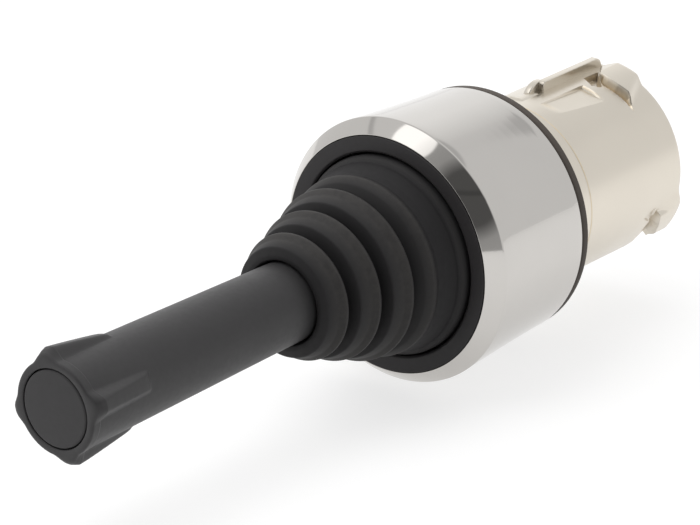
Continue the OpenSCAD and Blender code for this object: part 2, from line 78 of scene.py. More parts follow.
# ------------------------------------------------------------------ small maths
def smooth(x, edge, width):
    """0 before edge, 1 after it, with a smooth step of the given width."""
    t = np.clip((x - edge) / width + 0.5, 0, 1)
    return t * t * (3 - 2 * t)


def band(x, low, high, width):
    """1 between low and high, 0 outside, with smooth steps at both."""
    return smooth(x, low, width) * (1 - smooth(x, high, width))


def rounded(points, radius, steps=5):
    """A profile [(r, y), ...] with each corner between its ends replaced by a parabolic arc of steps points.

    The arc is (1 - t)^2 a + 2 t (1 - t) corner + t^2 b, with a and b on the two edges.
    """
    points = np.asarray(points, float)
    out = [points[0]]
    for before, corner, after in zip(points, points[1:], points[2:]):
        u, v = before - corner, after - corner
        lu, lv = np.linalg.norm(u), np.linalg.norm(v)
        cut = min(radius, LONGEST_ARC * lu, LONGEST_ARC * lv)
        a, b = corner + u / lu * cut, corner + v / lv * cut
        for t in np.linspace(0, 1, steps):
            out.append((1 - t) ** 2 * a + 2 * t * (1 - t) * corner + t * t * b)
    out.append(points[-1])
    return np.array(out)


def inset(points, distance):
    """A closed convex outline moved inwards: each corner goes along the sum of its two edge normals."""
    points = np.asarray(points, float)
    ahead = np.roll(points, -1, 0) - points
    ahead /= np.linalg.norm(ahead, axis=1)[:, None]
    normal = np.stack([-ahead[:, 1], ahead[:, 0]], 1)
    both = normal + np.roll(normal, 1, 0)
    return points + both * (2 * distance / (both ** 2).sum(1))[:, None]


# ------------------------------------------------------------------ meshes
def skin(name, rows, ends="loop", marks=None, sharp=0.6):
    """A closed skin over a grid of points (rows, columns, xyz) in millimetres.

    The columns always close. The rows close into a ring ("loop") or each end closes with a fan to
    its middle ("fans"). The signed volume decides which way the faces turn, so that they point out.
    marks is a value for each grid point, kept as an attribute that a finish may read.
    """
    rows = np.asarray(rows, float)
    count, cols = rows.shape[:2]
    verts = rows.reshape(-1, 3)
    spans = count if ends == "loop" else count - 1
    i, j = np.meshgrid(np.arange(spans), np.arange(cols), indexing="ij")
    i, j = i.ravel(), j.ravel()
    k, n = (j + 1) % cols, (i + 1) % count
    quads = np.stack([i * cols + j, n * cols + j, n * cols + k, i * cols + k], 1)
    fans = np.empty((0, 3), int)
    if ends == "fans":
        verts = np.concatenate([verts, [rows[0].mean(0), rows[-1].mean(0)]])
        j = np.arange(cols)
        k = (j + 1) % cols
        last = (count - 1) * cols
        first_fan = np.stack([j, k, np.full(cols, count * cols)], 1)
        last_fan = np.stack([last + k, last + j, np.full(cols, count * cols + 1)], 1)
        fans = np.concatenate([first_fan, last_fan])
    thirds = np.concatenate([quads[:, :3], quads[:, [0, 2, 3]], fans])
    a, b, c = (verts[thirds[:, n]] for n in range(3))
    if (a * np.cross(b, c)).sum() < 0:
        quads, fans = quads[:, ::-1], fans[:, ::-1]
    mesh = bpy.data.meshes.new(name)
    mesh.vertices.add(len(verts))
    mesh.vertices.foreach_set("co", (verts * MM).ravel())
    mesh.loops.add(quads.size + fans.size)
    mesh.loops.foreach_set("vertex_index", np.concatenate([quads.ravel(), fans.ravel()]))
    mesh.polygons.add(len(quads) + len(fans))
    starts = np.concatenate([np.arange(0, quads.size, 4), quads.size + np.arange(0, fans.size, 3)])
    mesh.polygons.foreach_set("loop_start", starts)
    mesh.polygons.foreach_set("use_smooth", np.ones(len(starts), bool))
    mesh.update(calc_edges=True)
    mesh.validate()
    mesh.set_sharp_from_angle(angle=sharp)
    if marks is not None:
        values = np.zeros(len(verts))
        values[:marks.size] = marks.ravel()
        mesh.attributes.new("edge_wear", "FLOAT", "POINT").data.foreach_set("value", values)
    piece = bpy.data.objects.new(name, mesh)
    bpy.context.scene.collection.objects.link(piece)
    return piece


def turned(name, profile, sides, ends="loop", wear=None):
    """A turned piece: each profile point (radius, y) runs once round the axis."""
    profile = np.asarray(profile, float)
    a = np.linspace(0, TAU, sides, endpoint=False)[None, :]
    r, y = profile[:, 0][:, None], profile[:, 1][:, None]
    rows = np.stack([r * np.cos(a), np.broadcast_to(y, (len(profile), sides)), r * np.sin(a)], 2)
    marks = None if wear is None else np.repeat(np.asarray(wear)[:, None], sides, 1)
    return skin(name, rows, ends, marks)


def slab(name, outline, x0, x1, edge):
    """A plate: an outline [(y, z), ...] carried from x0 to x1, its long edges rounded by edge.

    Each ring lies edge (1 - sin t) from its end and edge (1 - cos t) inside the outline; one more
    ring, FLAT_RIM further in, keeps the flat end flat up to the rounding.
    """
    quarter = np.linspace(0, math.pi / 2, 4)[::-1]
    rings = [(0.0, edge + FLAT_RIM)] + [(edge * (1 - math.sin(t)), edge * (1 - math.cos(t))) for t in quarter]
    near = [(x0 + depth, shrink) for depth, shrink in rings]
    far = [(x1 - depth, shrink) for depth, shrink in rings[::-1]]
    rows = [np.column_stack([np.full(len(outline), x), inset(outline, shrink)]) for x, shrink in near + far]
    return skin(name, rows, "fans")


# ------------------------------------------------------------------ finishes
CLOUD = 8  # size in mm of the cloud that varies a colour
GLOSS_CHANGE = 0.06  # share by which the grain varies the roughness
WORN_METALLIC = 0.45  # how metallic a plated edge is where it is worn most


def linear(code):
    """An sRGB hex code as linear RGBA."""
    parts = [int(code[i:i + 2], 16) / 255 for i in (1, 3, 5)]
    return [c / 12.92 if c <= 0.04045 else ((c + 0.055) / 1.055) ** 2.4 for c in parts] + [1.0]


def node(tree, kind, inputs=None, **settings):
    """Adds a node; an input is a value or an (earlier node, output) pair."""
    added = tree.nodes.new(kind)
    for key, value in settings.items():
        setattr(added, key, value)
    for key, value in (inputs or {}).items():
        if isinstance(value, tuple) and hasattr(value[0], "outputs"):
            tree.links.new(value[0].outputs[value[1]], added.inputs[key])
        else:
            added.inputs[key].default_value = value
    return added


def ramp(tree, source, stops):
    """A ramp over a value, its stops given as (place, grey value or RGBA)."""
    added = node(tree, "ShaderNodeValToRGB", {0: source})
    elements = added.color_ramp.elements
    while len(elements) < len(stops):
        elements.new(0.5)
    for element, (place, colour) in zip(elements, stops):
        element.position = place
        element.color = colour if hasattr(colour, "__len__") else [colour] * 3 + [1.0]
    return added


def remap(tree, source, low, high, before, after):
    """A value that goes from before to after while the source goes from low to high."""
    return node(tree, "ShaderNodeMapRange", {0: source, 1: low, 2: high, 3: before, 4: after})


def finish(name, base, rough, metallic=0.0, grain=1.0, bump=0.01, spread=0.06, wear=None, **sockets):
    """A moulded or plated finish.

    A cloud varies the colour by the share spread. A grain of the given size in millimetres varies the
    gloss and lifts the surface by bump millimetres. Where the mesh marks an edge, the colour
    wear, a painted highlight, shows in patches of that grain, and a metal is duller.
    """
    material = bpy.data.materials.new(name)
    assert material.name == name
    material.use_nodes = True
    tree = material.node_tree
    shader = tree.nodes["Principled BSDF"]
    coords = node(tree, "ShaderNodeTexCoord")
    cloud = node(tree, "ShaderNodeTexNoise",
                 {"Vector": (coords, "Object"), "Scale": 1 / (CLOUD * MM), "Detail": 4.0})
    fine = node(tree, "ShaderNodeTexNoise",
                {"Vector": (coords, "Object"), "Scale": 1 / (grain * MM), "Detail": 3.0})
    light = np.array(base[:3])
    tint = ramp(tree, (cloud, 0), [(0.3, [*(light * (1 - spread)), 1.0]),
                                   (0.7, [*np.clip(light * (1 + spread), 0, 1), 1.0])])
    colour = (tint, 0)
    # marked edges and crests get a lighter colour in patches: a painted highlight
    if wear:
        marked = node(tree, "ShaderNodeAttribute", attribute_name="edge_wear")
        patchy = remap(tree, (fine, 0), low=0.35, high=0.6, before=0.6, after=1.0)
        amount = node(tree, "ShaderNodeMath", {0: (marked, "Fac"), 1: (patchy, 0)}, operation="MULTIPLY")
        mixed = node(tree, "ShaderNodeMix", {"Factor": (amount, 0), 6: colour, 7: linear(wear)},
                     data_type="RGBA")
        colour = (mixed, 2)
    gloss = remap(tree, (fine, 0), low=0.3, high=0.7,
                  before=rough * (1 - GLOSS_CHANGE), after=rough * (1 + GLOSS_CHANGE))
    relief = node(tree, "ShaderNodeBump", {"Height": (fine, 0), "Strength": 1.0, "Distance": bump * MM})
    tree.links.new(colour[0].outputs[colour[1]], shader.inputs["Base Color"])
    tree.links.new(gloss.outputs[0], shader.inputs["Roughness"])
    tree.links.new(relief.outputs[0], shader.inputs["Normal"])
    shader.inputs["Metallic"].default_value = metallic
    if wear and metallic:
        dull = remap(tree, (amount, 0), low=0.0, high=1.0, before=metallic, after=WORN_METALLIC)
        tree.links.new(dull.outputs[0], shader.inputs["Metallic"])
    for key, value in sockets.items():
        shader.inputs[key.replace("_", " ")].default_value = value
    return material


# The finishes whose colour the sidebar offers; each is (the colour's property, the rest of the finish).
COLOURED = {
    # nickel plate on a zinc die casting: a soft warm sheen, almost no grain, a painted yellow highlight along
    # its edges
    "satin_nickel_plate": ("nickel", dict(rough=0.3, metallic=1.0, grain=2.5, bump=0.0003, spread=0.012,
                                          wear="#ecdabb")),
    # chrome plate on a polished turned ring: mirrors the room, a little grey
    "polished_chrome_plate": ("chrome", dict(rough=0.07, metallic=1.0, grain=3.0, bump=0.0005, spread=0.015)),
    # moulded rubber seal: smooth and dull, brown black
    "brown_black_rubber": ("gasket", dict(rough=0.6, Specular_IOR_Level=0.35, grain=1.1)),
    # moulded ABS ring: fine spark-eroded texture, satin black
    "black_ring_plastic": ("ring", dict(rough=0.5, Specular_IOR_Level=0.3, grain=0.7, bump=0.006)),
    # moulded rubber boot: dull black, its crests pale: dusty where hands rub, and a painted highlight
    "black_boot_rubber": ("boot", dict(rough=0.6, Specular_IOR_Level=0.25, grain=0.7, bump=0.008,
                                       wear="#4a4846")),
    # moulded nylon stick: fine texture, charcoal
    "charcoal_grip_plastic": ("stick", dict(rough=0.5, Specular_IOR_Level=0.45, grain=0.6, bump=0.006)),
    # moulded cap: the same nylon, a shade lighter
    "charcoal_cap_plastic": ("cap", dict(rough=0.5, Specular_IOR_Level=0.35, grain=0.6, bump=0.008)),
}
# The finishes of the mechanism, whose colours are fixed.
PLAIN = {
    # glass-filled nylon frame: dull grey with a coarse skin
    "glass_filled_nylon": dict(base="#5b5d60", rough=0.55, grain=0.8),
    # acetal guide and rocker: white and waxy
    "white_acetal": dict(base="#e4e0d6", rough=0.45, grain=0.8, bump=0.005),
    # plungers: glossy coloured acetal
    "red_plunger_plastic": dict(base="#c23b2e", rough=0.35, grain=0.8, bump=0.003),
    # ground steel shafts and pins, and the drawn springs: bright with a short sheen
    "ground_steel": dict(base="#b4b3b0", rough=0.25, metallic=1.0, grain=0.6, bump=0.003),
    # zinc-plated fasteners: pale and slightly cloudy
    "zinc_plate": dict(base="#bdbab2", rough=0.4, metallic=1.0, grain=1.1, bump=0.004),
    # pressure-cast zinc gimbal: dull with a cast skin
    "cast_zinc": dict(base="#a8a59c", rough=0.5, metallic=1.0, grain=2.0, bump=0.01),
}
# Which finish each solid of the mechanism gets.
INSIDE_FINISH = {
    "pivot_frame": "glass_filled_nylon", "guide_plate": "white_acetal", "guide_screws": "zinc_plate",
    "gimbal_ring": "cast_zinc", "gimbal_pin_left": "ground_steel", "gimbal_pin_right": "ground_steel",
    "lever_shaft": "ground_steel", "stick_nut": "zinc_plate", "lock_washer": "zinc_plate",
    "cross_pin": "ground_steel", "rocker": "white_acetal", "rocker_clip": "ground_steel",
    "plunger_top": "red_plunger_plastic", "plunger_bottom": "red_plunger_plastic",
    "plunger_left": "red_plunger_plastic", "plunger_right": "red_plunger_plastic",
}


# ------------------------------------------------------------------ collar
# Radii and places along Y are in mm, angles in degrees from +X towards +Z.
BARREL_R = 10.25
NECK_R = 10.19
NECK_END = 5.0
STEP_END = 5.15
COLLAR_END = 21.55
CUP_R = 12.4
GASKET_FRONT = -1.3
CRISP = 0.08  # width in mm of an edge that looks sharp, along Y
CRISP_DEG = 0.5  # and round the collar, in degrees
HUMP_R = 2.28
HUMP_FOOT = 9.3  # height above the axis where the hump ends inside the barrel
CLEAR = 9  # mm, above every point of the skin, so that a cut leaves it alone
# The lines y(angle) of the upper slot's front and rear walls and of the lower slot's rear wall.
SLOT_PLACES = [48.5, 53, 57, 60.2, 66.8, 73.8, 80.4]
SLOT_FRONT = [17.2, 17.15, 17.17, 17.17, 17.05, 16.9, 17.7]
SLOT_REAR = [17.3, 17.72, 17.95, 17.9, 17.7, 17.65, 17.76]
LOWER_PLACES = [-51, -50, -36, -24, -21.3, -19.1]
LOWER_REAR = [22.0, 20.3, 19.0, 18.2, 18.1, 17.95]


def collar_rise(y, deg, lug_rise, slot_depth):
    """Height of the collar's skin above the barrel, and how much each point is an edge that gets a painted
    highlight.

    Lugs are plateaus that start at a front line y(angle) and fade towards their ends; recesses are
    flat floors, r0 / cos(angle from the floor's normal), inside a patch bounded by lines y(angle).
    All is a product of smooth steps, 3 t^2 - 2 t^3, in y and in the angle deg.
    """
    shape = np.broadcast(y, deg).shape
    rise, wear = np.zeros(shape), np.zeros(shape)

    def cut(place, floor, highlight_and_wear_share=1.0):
        """Lowers the skin to floor where place is 1, and marks the cut's edges, by the last argument, for a
        painted highlight.
        """
        nonlocal rise, wear
        drop = np.clip(rise - floor, 0, None)
        # the edges of a cut get a painted highlight
        wear = np.maximum(wear, highlight_and_wear_share * 4 * place * (1 - place) * np.clip(drop * 3 - 0.2, 0, 1))
        rise = rise - drop * place

    # upper rear lug: a ramp towards the key, a slanted soft end on the other side
    soft_end = np.interp(y, [17.6, 21.5], [51.5, 62.0])
    top = np.interp(deg, [82.0, 91.5], [1.0, 0.0]) * smooth(deg, soft_end + 4.0, 8.0)
    front = np.interp(deg, SLOT_PLACES + [80.8, 91.5], [y - 0.4 for y in SLOT_REAR] + [17.8, 20.8])
    rise = rise + lug_rise * top * smooth(y, front, CRISP)
    # lower rear lug: soft at both ends, its front is the wall of the lower slot
    top = smooth(deg, -43.5, 11.0) * (1 - smooth(deg, -14.5, 10.0))
    lower_rear = np.interp(deg, LOWER_PLACES, LOWER_REAR)
    near_slot = 1 - smooth(deg, -21.5, 3.0)
    start = smooth(y, lower_rear, 0.1) * near_slot + smooth(y, 19.4, 2.6) * (1 - near_slot)
    rise = rise + (lug_rise - 0.13) * top * start
    # low shelf and foot left of the key
    rise = np.maximum(rise, 0.18 * band(y, 6.5, 9.5, 0.3) * band(deg, 92.3, 100.5, 1.6))
    rise = np.maximum(rise, 0.3 * band(y, 5.2, 7.1, 0.3) * band(deg, 99.5, 108.5, 2.0))
    # label recess, its floor deepest along the key and at its rear
    floor = (BARREL_R - 0.38 - (y - 14.9) * 0.03) / np.cos(np.radians(deg - 78)) - BARREL_R
    rear = np.interp(deg, [61.5, 64.0, 81.0], [14.1, 14.75, 14.75])
    cut(smooth(y, 7.7, 1.6) * (1 - smooth(y, rear, CRISP)) * band(deg, 61.5, 81.3, CRISP_DEG), floor)
    # pocket beside the key, behind a thin wall of the upper slot
    front = np.interp(deg, [73.6, 77.7, 87.0], [16.2, 15.7, 16.5])
    rear = np.interp(deg, [73.6, 80.2, 87.0], [16.5, 17.5, 19.0])
    cut(smooth(y, front, 0.1) * (1 - smooth(y, rear, 0.1)) * band(deg, 73.8, 86.8, CRISP_DEG), -0.8)
    # upper bayonet slot
    front = np.interp(deg, SLOT_PLACES, SLOT_FRONT)
    rear = np.interp(deg, SLOT_PLACES, SLOT_REAR)
    floor = (BARREL_R - slot_depth) / np.cos(np.radians(deg - 67)) - BARREL_R
    cut(smooth(y, front, CRISP) * (1 - smooth(y, rear - 0.3, 0.7)) * band(deg, 48.7, 80.2, CRISP_DEG), floor)
    # lower bayonet slot: a lead-in ramp on its underside that runs out at the rear end
    behind = smooth(y, lower_rear, CRISP)
    ramp_depth = np.interp(y, [17.2, 20.8], [0.0, 0.8]) * band(deg, -80.0, -41.0, 8.0)
    rise = np.minimum(rise, -ramp_depth * (1 - behind) + CLEAR * (ramp_depth == 0) + CLEAR * behind)
    # a shallow facet at its upper corner
    facet = np.interp(deg, [-26.0, -21.7, -17.5], [17.0, 15.9, 17.2])
    cut(smooth(y, facet, 0.5) * (1 - smooth(y, 17.5, 0.1)) * band(deg, -26.0, -17.5, 2.0), -0.16, 0.0)
    # and the slot itself, with a soft lower end
    front = np.interp(deg, [-62, -36, -19.1], [16.5, 16.62, 17.8])
    ends = smooth(deg, -42.0, 9.0) * (1 - smooth(deg, -19.3, 0.6))
    cut(smooth(y, front, CRISP) * (1 - behind) * ends, -slot_depth, 0.0)
    return rise, wear


def collar_mesh(sizes):
    """The die casting: its outer skin as a height over the barrel, then the rim, bores and cup.

    Each row is a circle (r cos a, y, r sin a) whose radius r may change with the angle a. The steps are
    finer where slots, lugs and recesses are.
    """
    deg = np.concatenate([np.arange(-12, 50, 2.0), np.arange(50, 92, 0.3), np.arange(92, 298, 3.0),
                          np.arange(298, 348, 0.45)])
    deg = np.where(deg > 270, deg - 360, deg)
    y = np.concatenate([np.linspace(NECK_END, STEP_END, 4), np.linspace(5.22, 6.4, 7),
                        np.arange(6.5, 15.5, 0.14), np.arange(15.5, 18.6, 0.045),
                        np.arange(18.6, COLLAR_END - 0.24, 0.13)])
    lug_rise = sizes.lug_reach / MM - BARREL_R
    rise, wear = collar_rise(y[:, None], deg[None, :], lug_rise, sizes.slot_depth / MM)
    radius = np.interp(y, [NECK_END, STEP_END], [NECK_R, BARREL_R])[:, None] + rise
    # the neck's step also gets a painted highlight
    wear = np.maximum(wear, band(y, 5.06, 5.2, 0.04)[:, None])
    rim = [(radius[-1] - lower, np.full(deg.shape, COLLAR_END - back)) for lower, back in
           ((0.03, 0.12), (0.1, 0.04), (0.22, 0.0))]
    rim.append((np.full(deg.shape, 9.1), np.full(deg.shape, COLLAR_END)))
    # from the rear mouth through the bores to the cup, and back along its outside to the neck
    fixed = rounded([(8.95, COLLAR_END), (8.8, 21.4), (8.8, 16.2), (8.5, 16.2), (8.5, 4.2), (8.0, 4.2),
                     (8.0, -3.0), (11.4, -3.0), (11.4, -13.45), (CUP_R, -13.45), (CUP_R, GASKET_FRONT),
                     (10.0, GASKET_FRONT), (10.0, 0.02), (NECK_R, 0.1), (NECK_R, 4.9)], 0.12, 3)
    r = np.concatenate([radius, [a for a, _ in rim], np.repeat(fixed[:, :1], len(deg), 1)])
    place = np.concatenate([np.repeat(y[:, None], len(deg), 1), [b for _, b in rim],
                            np.repeat(fixed[:, 1:], len(deg), 1)])
    marks = np.zeros(r.shape)
    marks[:len(wear)] = wear
    a = np.radians(deg)[None, :]
    rows = np.stack([r * np.cos(a), place, r * np.sin(a)], 2)
    return skin("collar_casting", rows, "loop", marks)


def key_meshes(sizes):
    """The locating key, a thin bevelled plate, and the round lead-in hump left of it.

    The hump's outline is an arc about (10.4, 9.0) in (y, z), of radius 2.28 mm.
    """
    top = sizes.key_height / MM
    plate = rounded([(15.0, 9.4), (10.25, 9.4), (10.25, top - 0.25), (10.5, top), (20.1, top),
                     (20.6, top - 0.3), (21.1, 9.9), (21.1, 9.4), (15.0, 9.4)], 0.12, 3)[1:-1]
    a = np.linspace(-0.25, math.pi + 0.25, 40)
    hump = np.column_stack([10.4 + HUMP_R * np.cos(a), 9.0 + HUMP_R * np.sin(a)])
    hump = hump[hump[:, 1] > HUMP_FOOT]
    return (slab("locating_key", plate[::-1], -1.1, -0.3, 0.07),
            slab("key_lead_in", hump, -1.75, -0.95, 0.12))


# ------------------------------------------------------------------ front pieces
def bezel_mesh(sides):
    """A turned ring: the side swells as radius 13.8 + 0.83 s^1.25 towards the chamfer at its front."""
    s = np.linspace(0, 1, 12)
    side = np.column_stack([13.8 + 0.83 * s ** 1.25, -1.42 - 14.2 * s])
    body = [(12.45, GASKET_FRONT), (13.7, GASKET_FRONT), *side, (14.58, -15.75), (13.15, -17.45),
            (13.05, -17.38), (13.05, -13.5), (12.45, -13.5)]
    return turned("bezel_ring", rounded(body, 0.1, 4), sides)


def gasket_mesh(sides):
    """A flat turned ring with a bevel that leaves a dark groove under the bezel's edge."""
    body = [(10.05, GASKET_FRONT), (13.35, GASKET_FRONT), (13.7, -1.02), (13.7, -0.25), (13.45, 0.0),
            (10.05, 0.0)]
    return turned("gasket_ring", rounded(body, 0.12, 4), sides)


def ring_mesh(sides):
    """A flat turned ring inside the bezel's mouth, its inner edge bevelled."""
    body = [(11.2, -17.3), (11.4, -17.5), (12.95, -17.5), (13.0, -17.45), (13.0, -14.6), (11.2, -14.6)]
    return turned("retaining_ring_face", rounded(body, 0.12, 4), sides)


# ------------------------------------------------------------------ boot
RIM_COUNT = 3
INNER_SHIFT = 0.25  # mm by which the inside lies behind the outside
INNER_STEP = 0.6 + INNER_SHIFT  # and nearer to the axis: the wall and the same shift
DUST_AND_HIGHLIGHT_DEPTH = 0.25  # mm, less than the wall, so that the inside stays clean


def boot_line(sizes):
    """Outer line of the boot as (r, y, pale mark), and the place of its last valley in that list. The pale
    mark on the crests is dusty rubber and a painted highlight.

    Three conical rims with a lip and an undercut back are followed by a skirt with a crest of its own.
    """
    mouth, pitch = -sizes.boot_mouth / MM, sizes.rim_spacing / MM
    points = [(4.5, mouth + 0.5, 0), (4.6, mouth + 0.05, 0), (5.1, mouth, 0.2)]
    for i in range(RIM_COUNT):
        r = (sizes.first_rim + i * sizes.rim_growth) / MM
        y = mouth + 2.25 + i * pitch
        # the third value lightens the crest: dusty rubber and a painted highlight
        points += [(r - 0.92, y - 2.0, 0), (r - 0.5, y - 0.72, 0.5), (r, y - 0.12, 0.6),
                   (r - 0.05, y + 0.28, 0.2), (r - 1.55, y + 0.62, 0), (r - 1.7, y + 1.1, 0),
                   (r - 1.2, y + 1.5, 0)]
    valley = len(points) - 2
    points += [(9.35, -22.5, 0.1), (9.9, -21.7, 0.5), (9.92, -21.35, 0.3), (9.75, -20.9, 0), (9.9, -20.0, 0),
               (10.35, -18.6, 0), (10.4, -18.25, 0), (10.75, -18.0, 0.2), (10.95, -17.6, 0),
               (10.95, -17.2, 0)]
    return points, valley


def boot_meshes(sizes, sides):
    """Two turned halves that meet in the last valley; inside, the wall follows the line of the rims.

    The pale mark of the outer line, dusty crests and a painted highlight, marks the points within
    DUST_AND_HIGHLIGHT_DEPTH of it.
    """
    line, valley = boot_line(sizes)
    outer = [(r, y) for r, y, _ in line]
    outer_r, outer_y, outer_dust_and_highlight = np.array(line).T

    def inner(part):
        """The wall's other side, in the opposite order."""
        return [(r - INNER_STEP, y + INNER_SHIFT) for r, y in part][::-1]

    near = outer[:valley + 1] + inner(outer[3:valley + 1]) + [(4.5, outer[0][1] + 0.9)]
    far = (outer[valley:] + [(10.9, -14.55), (12.9, -14.55), (12.9, -13.6), (10.1, -13.6), (10.1, -17.0)]
           + inner(outer[valley:-1]))
    halves = []
    for name, part in (("boot_inner_half", near), ("boot_outer_half", far)):
        profile = rounded(part, 0.16, 5)
        outside = profile[:, 0] > np.interp(profile[:, 1], outer_y, outer_r) - DUST_AND_HIGHLIGHT_DEPTH
        dust_and_highlight = np.interp(profile[:, 1], outer_y, outer_dust_and_highlight) * outside
        halves.append(turned(name, profile, sides, wear=dust_and_highlight))
    return halves


# ------------------------------------------------------------------ stick
FRONT_Y = -69.2
STICK_END = -30.0
FLANGE_END = -68.0
# The rings of the stick's rounded front: how far back, how much smaller, and what share of the ribs.
STICK_FRONT = ((0.03, 0.75, 0.0), (0.0, 0.65, 0.02), (0.0, 0.35, 0.14), (0.02, 0.18, 0.26),
               (0.08, 0.07, 0.38), (0.18, 0.01, 0.5))
RIB_MIDDLES = [16, 106, 196, 286]
BORE_FLOOR = -63.05
BORE_R = 2.25
RECESS_R = 3.3


def stick_radius(y):
    """The stick tapers evenly from 4.92 mm at its front to 4.25 mm in the boot."""
    return np.interp(y, [FRONT_Y, STICK_END], [4.92, 4.25])


def stick_mesh(sizes):
    """A tapered tube with a narrow front flange and four soft ribs that sink towards their rear ends.

    The radius is base + (reach - base) along(y) crown(distance from the nearest rib's middle).
    """
    deg = np.concatenate([np.concatenate([np.linspace(-30, 30, 72, endpoint=False),
                                          np.linspace(30, 60, 8, endpoint=False)]) + middle
                          for middle in RIB_MIDDLES])
    body_y = np.concatenate([np.linspace(FRONT_Y + 0.3, -67.6, 28), np.linspace(-67.5, -59.6, 50),
                             np.linspace(-59.0, STICK_END, 40)])
    from_rib = np.min([np.abs((deg - middle + 180) % 360 - 180) for middle in RIB_MIDDLES], 0)
    across = 5.5 * np.sin(np.radians(from_rib))
    softness = np.interp(body_y, [FRONT_Y, -67.0, -61.0], [1.9, 1.3, 0.8])[:, None]
    crown = 1 - smooth(across, 1.1, softness)
    along = np.interp(body_y, [FRONT_Y, -68.9, -68.5, -68.0, -61.2, -60.6, -60.2],
                      [0.3, 0.62, 0.85, 1, 0.3, 0.22, 0])
    reach = sizes.rib_reach / MM
    base = stick_radius(body_y) + 0.1 * (1 - smooth(body_y, FLANGE_END, 0.2))
    r = base[:, None] + ((reach - base) * along)[:, None] * crown
    flange = base[0]
    front = [(flange - shrink + lobe * (reach - flange) * crown[0], np.full(deg.shape, FRONT_Y + back))
             for back, shrink, lobe in STICK_FRONT]
    cap_y = FRONT_Y + 1.95
    inner = [(4.2, FRONT_Y + 0.12), (4.2, cap_y), (RECESS_R, cap_y), (RECESS_R, BORE_FLOOR),
             (BORE_R, BORE_FLOOR), (BORE_R, STICK_END), (4.1, STICK_END)]
    order = front + [(r[i], np.full(deg.shape, y)) for i, y in enumerate(body_y)]
    order += [(np.full(deg.shape, a), np.full(deg.shape, b)) for a, b in inner[::-1]]
    rr, yy = np.array([p[0] for p in order]), np.array([p[1] for p in order])
    a = np.radians(deg)[None, :]
    return skin("stick_grip", np.stack([rr * np.cos(a), yy, rr * np.sin(a)], 2), "loop")


def cap_mesh():
    """A flat turned disc with a rounded rim and a hollow plug behind it."""
    body = [(0.4, FRONT_Y), (3.9, FRONT_Y), (4.05, -69.12), (4.12, -68.95), (4.14, -67.32), (3.25, -67.32),
            (3.25, -65.8), (2.65, -65.8), (2.65, -67.85), (0.4, -67.85)]
    return turned("end_cap_disc", rounded(body, 0.12, 4), 96, ends="fans")


# ------------------------------------------------------------------ springs
SPRING_HEAD = -0.9
SPRING_SEAT = 8.7
SPRING_TURNS = 7
STEPS_PER_TURN = 40
WIRE_SIDES = 10
WIRE_R = 0.22
COIL_R = 1.72
PLUNGER_OFFSET = 5.6
PLUNGERS = (("top", 0, PLUNGER_OFFSET), ("bottom", 0, -PLUNGER_OFFSET),
            ("left", -PLUNGER_OFFSET, 0), ("right", PLUNGER_OFFSET, 0))


def spring_mesh(name, x, z):
    """A round wire along a helix between the plunger's head and the guide's bore.

    At the angle a along the helix and b round the wire, r = COIL_R + WIRE_R cos b, and y is the
    helix's place plus WIRE_R sin b.
    """
    a = TAU * np.arange(SPRING_TURNS * STEPS_PER_TURN + 1)[:, None] / STEPS_PER_TURN
    b = TAU * np.arange(WIRE_SIDES)[None, :] / WIRE_SIDES
    r = COIL_R + WIRE_R * np.cos(b)
    y = SPRING_HEAD + (SPRING_SEAT - SPRING_HEAD) * a / a[-1] + WIRE_R * np.sin(b)
    return skin(name, np.stack([x + r * np.cos(a), y, z + r * np.sin(a)], 2), "fans")


# ------------------------------------------------------------------ add-on
def length(name, description, default):
    """A length for the sidebar, its default given in millimetres."""
    return bpy.props.FloatProperty(name=name, description=description, default=default * MM, unit="LENGTH",
                                   precision=5)


def colour(name, description, code):
    """A colour for the sidebar, its default given as an sRGB hex code."""
    return bpy.props.FloatVectorProperty(name=name, description=description, default=linear(code)[:3],
                                         subtype="COLOR", min=0.0, max=1.0)


class JoystickSizes(bpy.types.PropertyGroup):
    """Sizes of the visible pieces."""

    sides: bpy.props.IntProperty(name="Sides", description="Sides of a turned piece", default=256,
                                 min=48, max=320)
    boot_mouth: length("Boot mouth", "From the panel seat forward to the boot's mouth", 34.5)
    first_rim: length("First rim", "Radius of the boot's rim next to the stick", 6.9)
    rim_growth: length("Rim growth", "Growth of the radius from rim to rim", 1.25)
    rim_spacing: length("Rim spacing", "Distance between the boot's rims", 3.8)
    rib_reach: length("Rib reach", "Radius of the stick's grip ribs", 6.1)
    key_height: length("Key height", "Height of the key's top above the axis", 11.35)
    lug_reach: length("Lug reach", "Radius of the collar's rear lugs", 11.0)
    slot_depth: length("Slot depth", "Depth of the bayonet slots", 0.95)


class JoystickColours(bpy.types.PropertyGroup):
    """Colours of the visible pieces."""

    nickel: colour("Collar", "Nickel plate of the collar", "#dcd5c9")
    chrome: colour("Bezel", "Chrome plate of the bezel", "#c6c3bf")
    gasket: colour("Gasket", "Rubber of the panel gasket", "#524b45")
    ring: colour("Ring", "Plastic of the retaining ring", "#333132")
    boot: colour("Boot", "Rubber of the boot", "#292829")
    stick: colour("Stick", "Plastic of the stick", "#353435")
    cap: colour("Cap", "Plastic of the end cap", "#3a393a")


def dress(piece, material):
    """Gives a piece one finish."""
    piece.data.materials.clear()
    piece.data.materials.append(bpy.data.materials[material])


def rigid(piece, body, material, replaces):
    """Finishes a new piece, hangs it on the body it rides on and hides the solid it stands for."""
    dress(piece, material)
    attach(piece, body)
    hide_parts(replaces)


class JOYSTICK_OT_finishes(bpy.types.Operator):
    """Make the finishes of all the pieces"""

    bl_idname = "joystick.finishes"
    bl_label = "Finishes"

    def execute(self, context):
        colours = context.scene.joystick_colours
        for name, (chosen, settings) in COLOURED.items():
            finish(name, getattr(colours, chosen), **settings)
        for name, settings in PLAIN.items():
            finish(name, linear(settings["base"]), **{k: v for k, v in settings.items() if k != "base"})
        return {"FINISHED"}


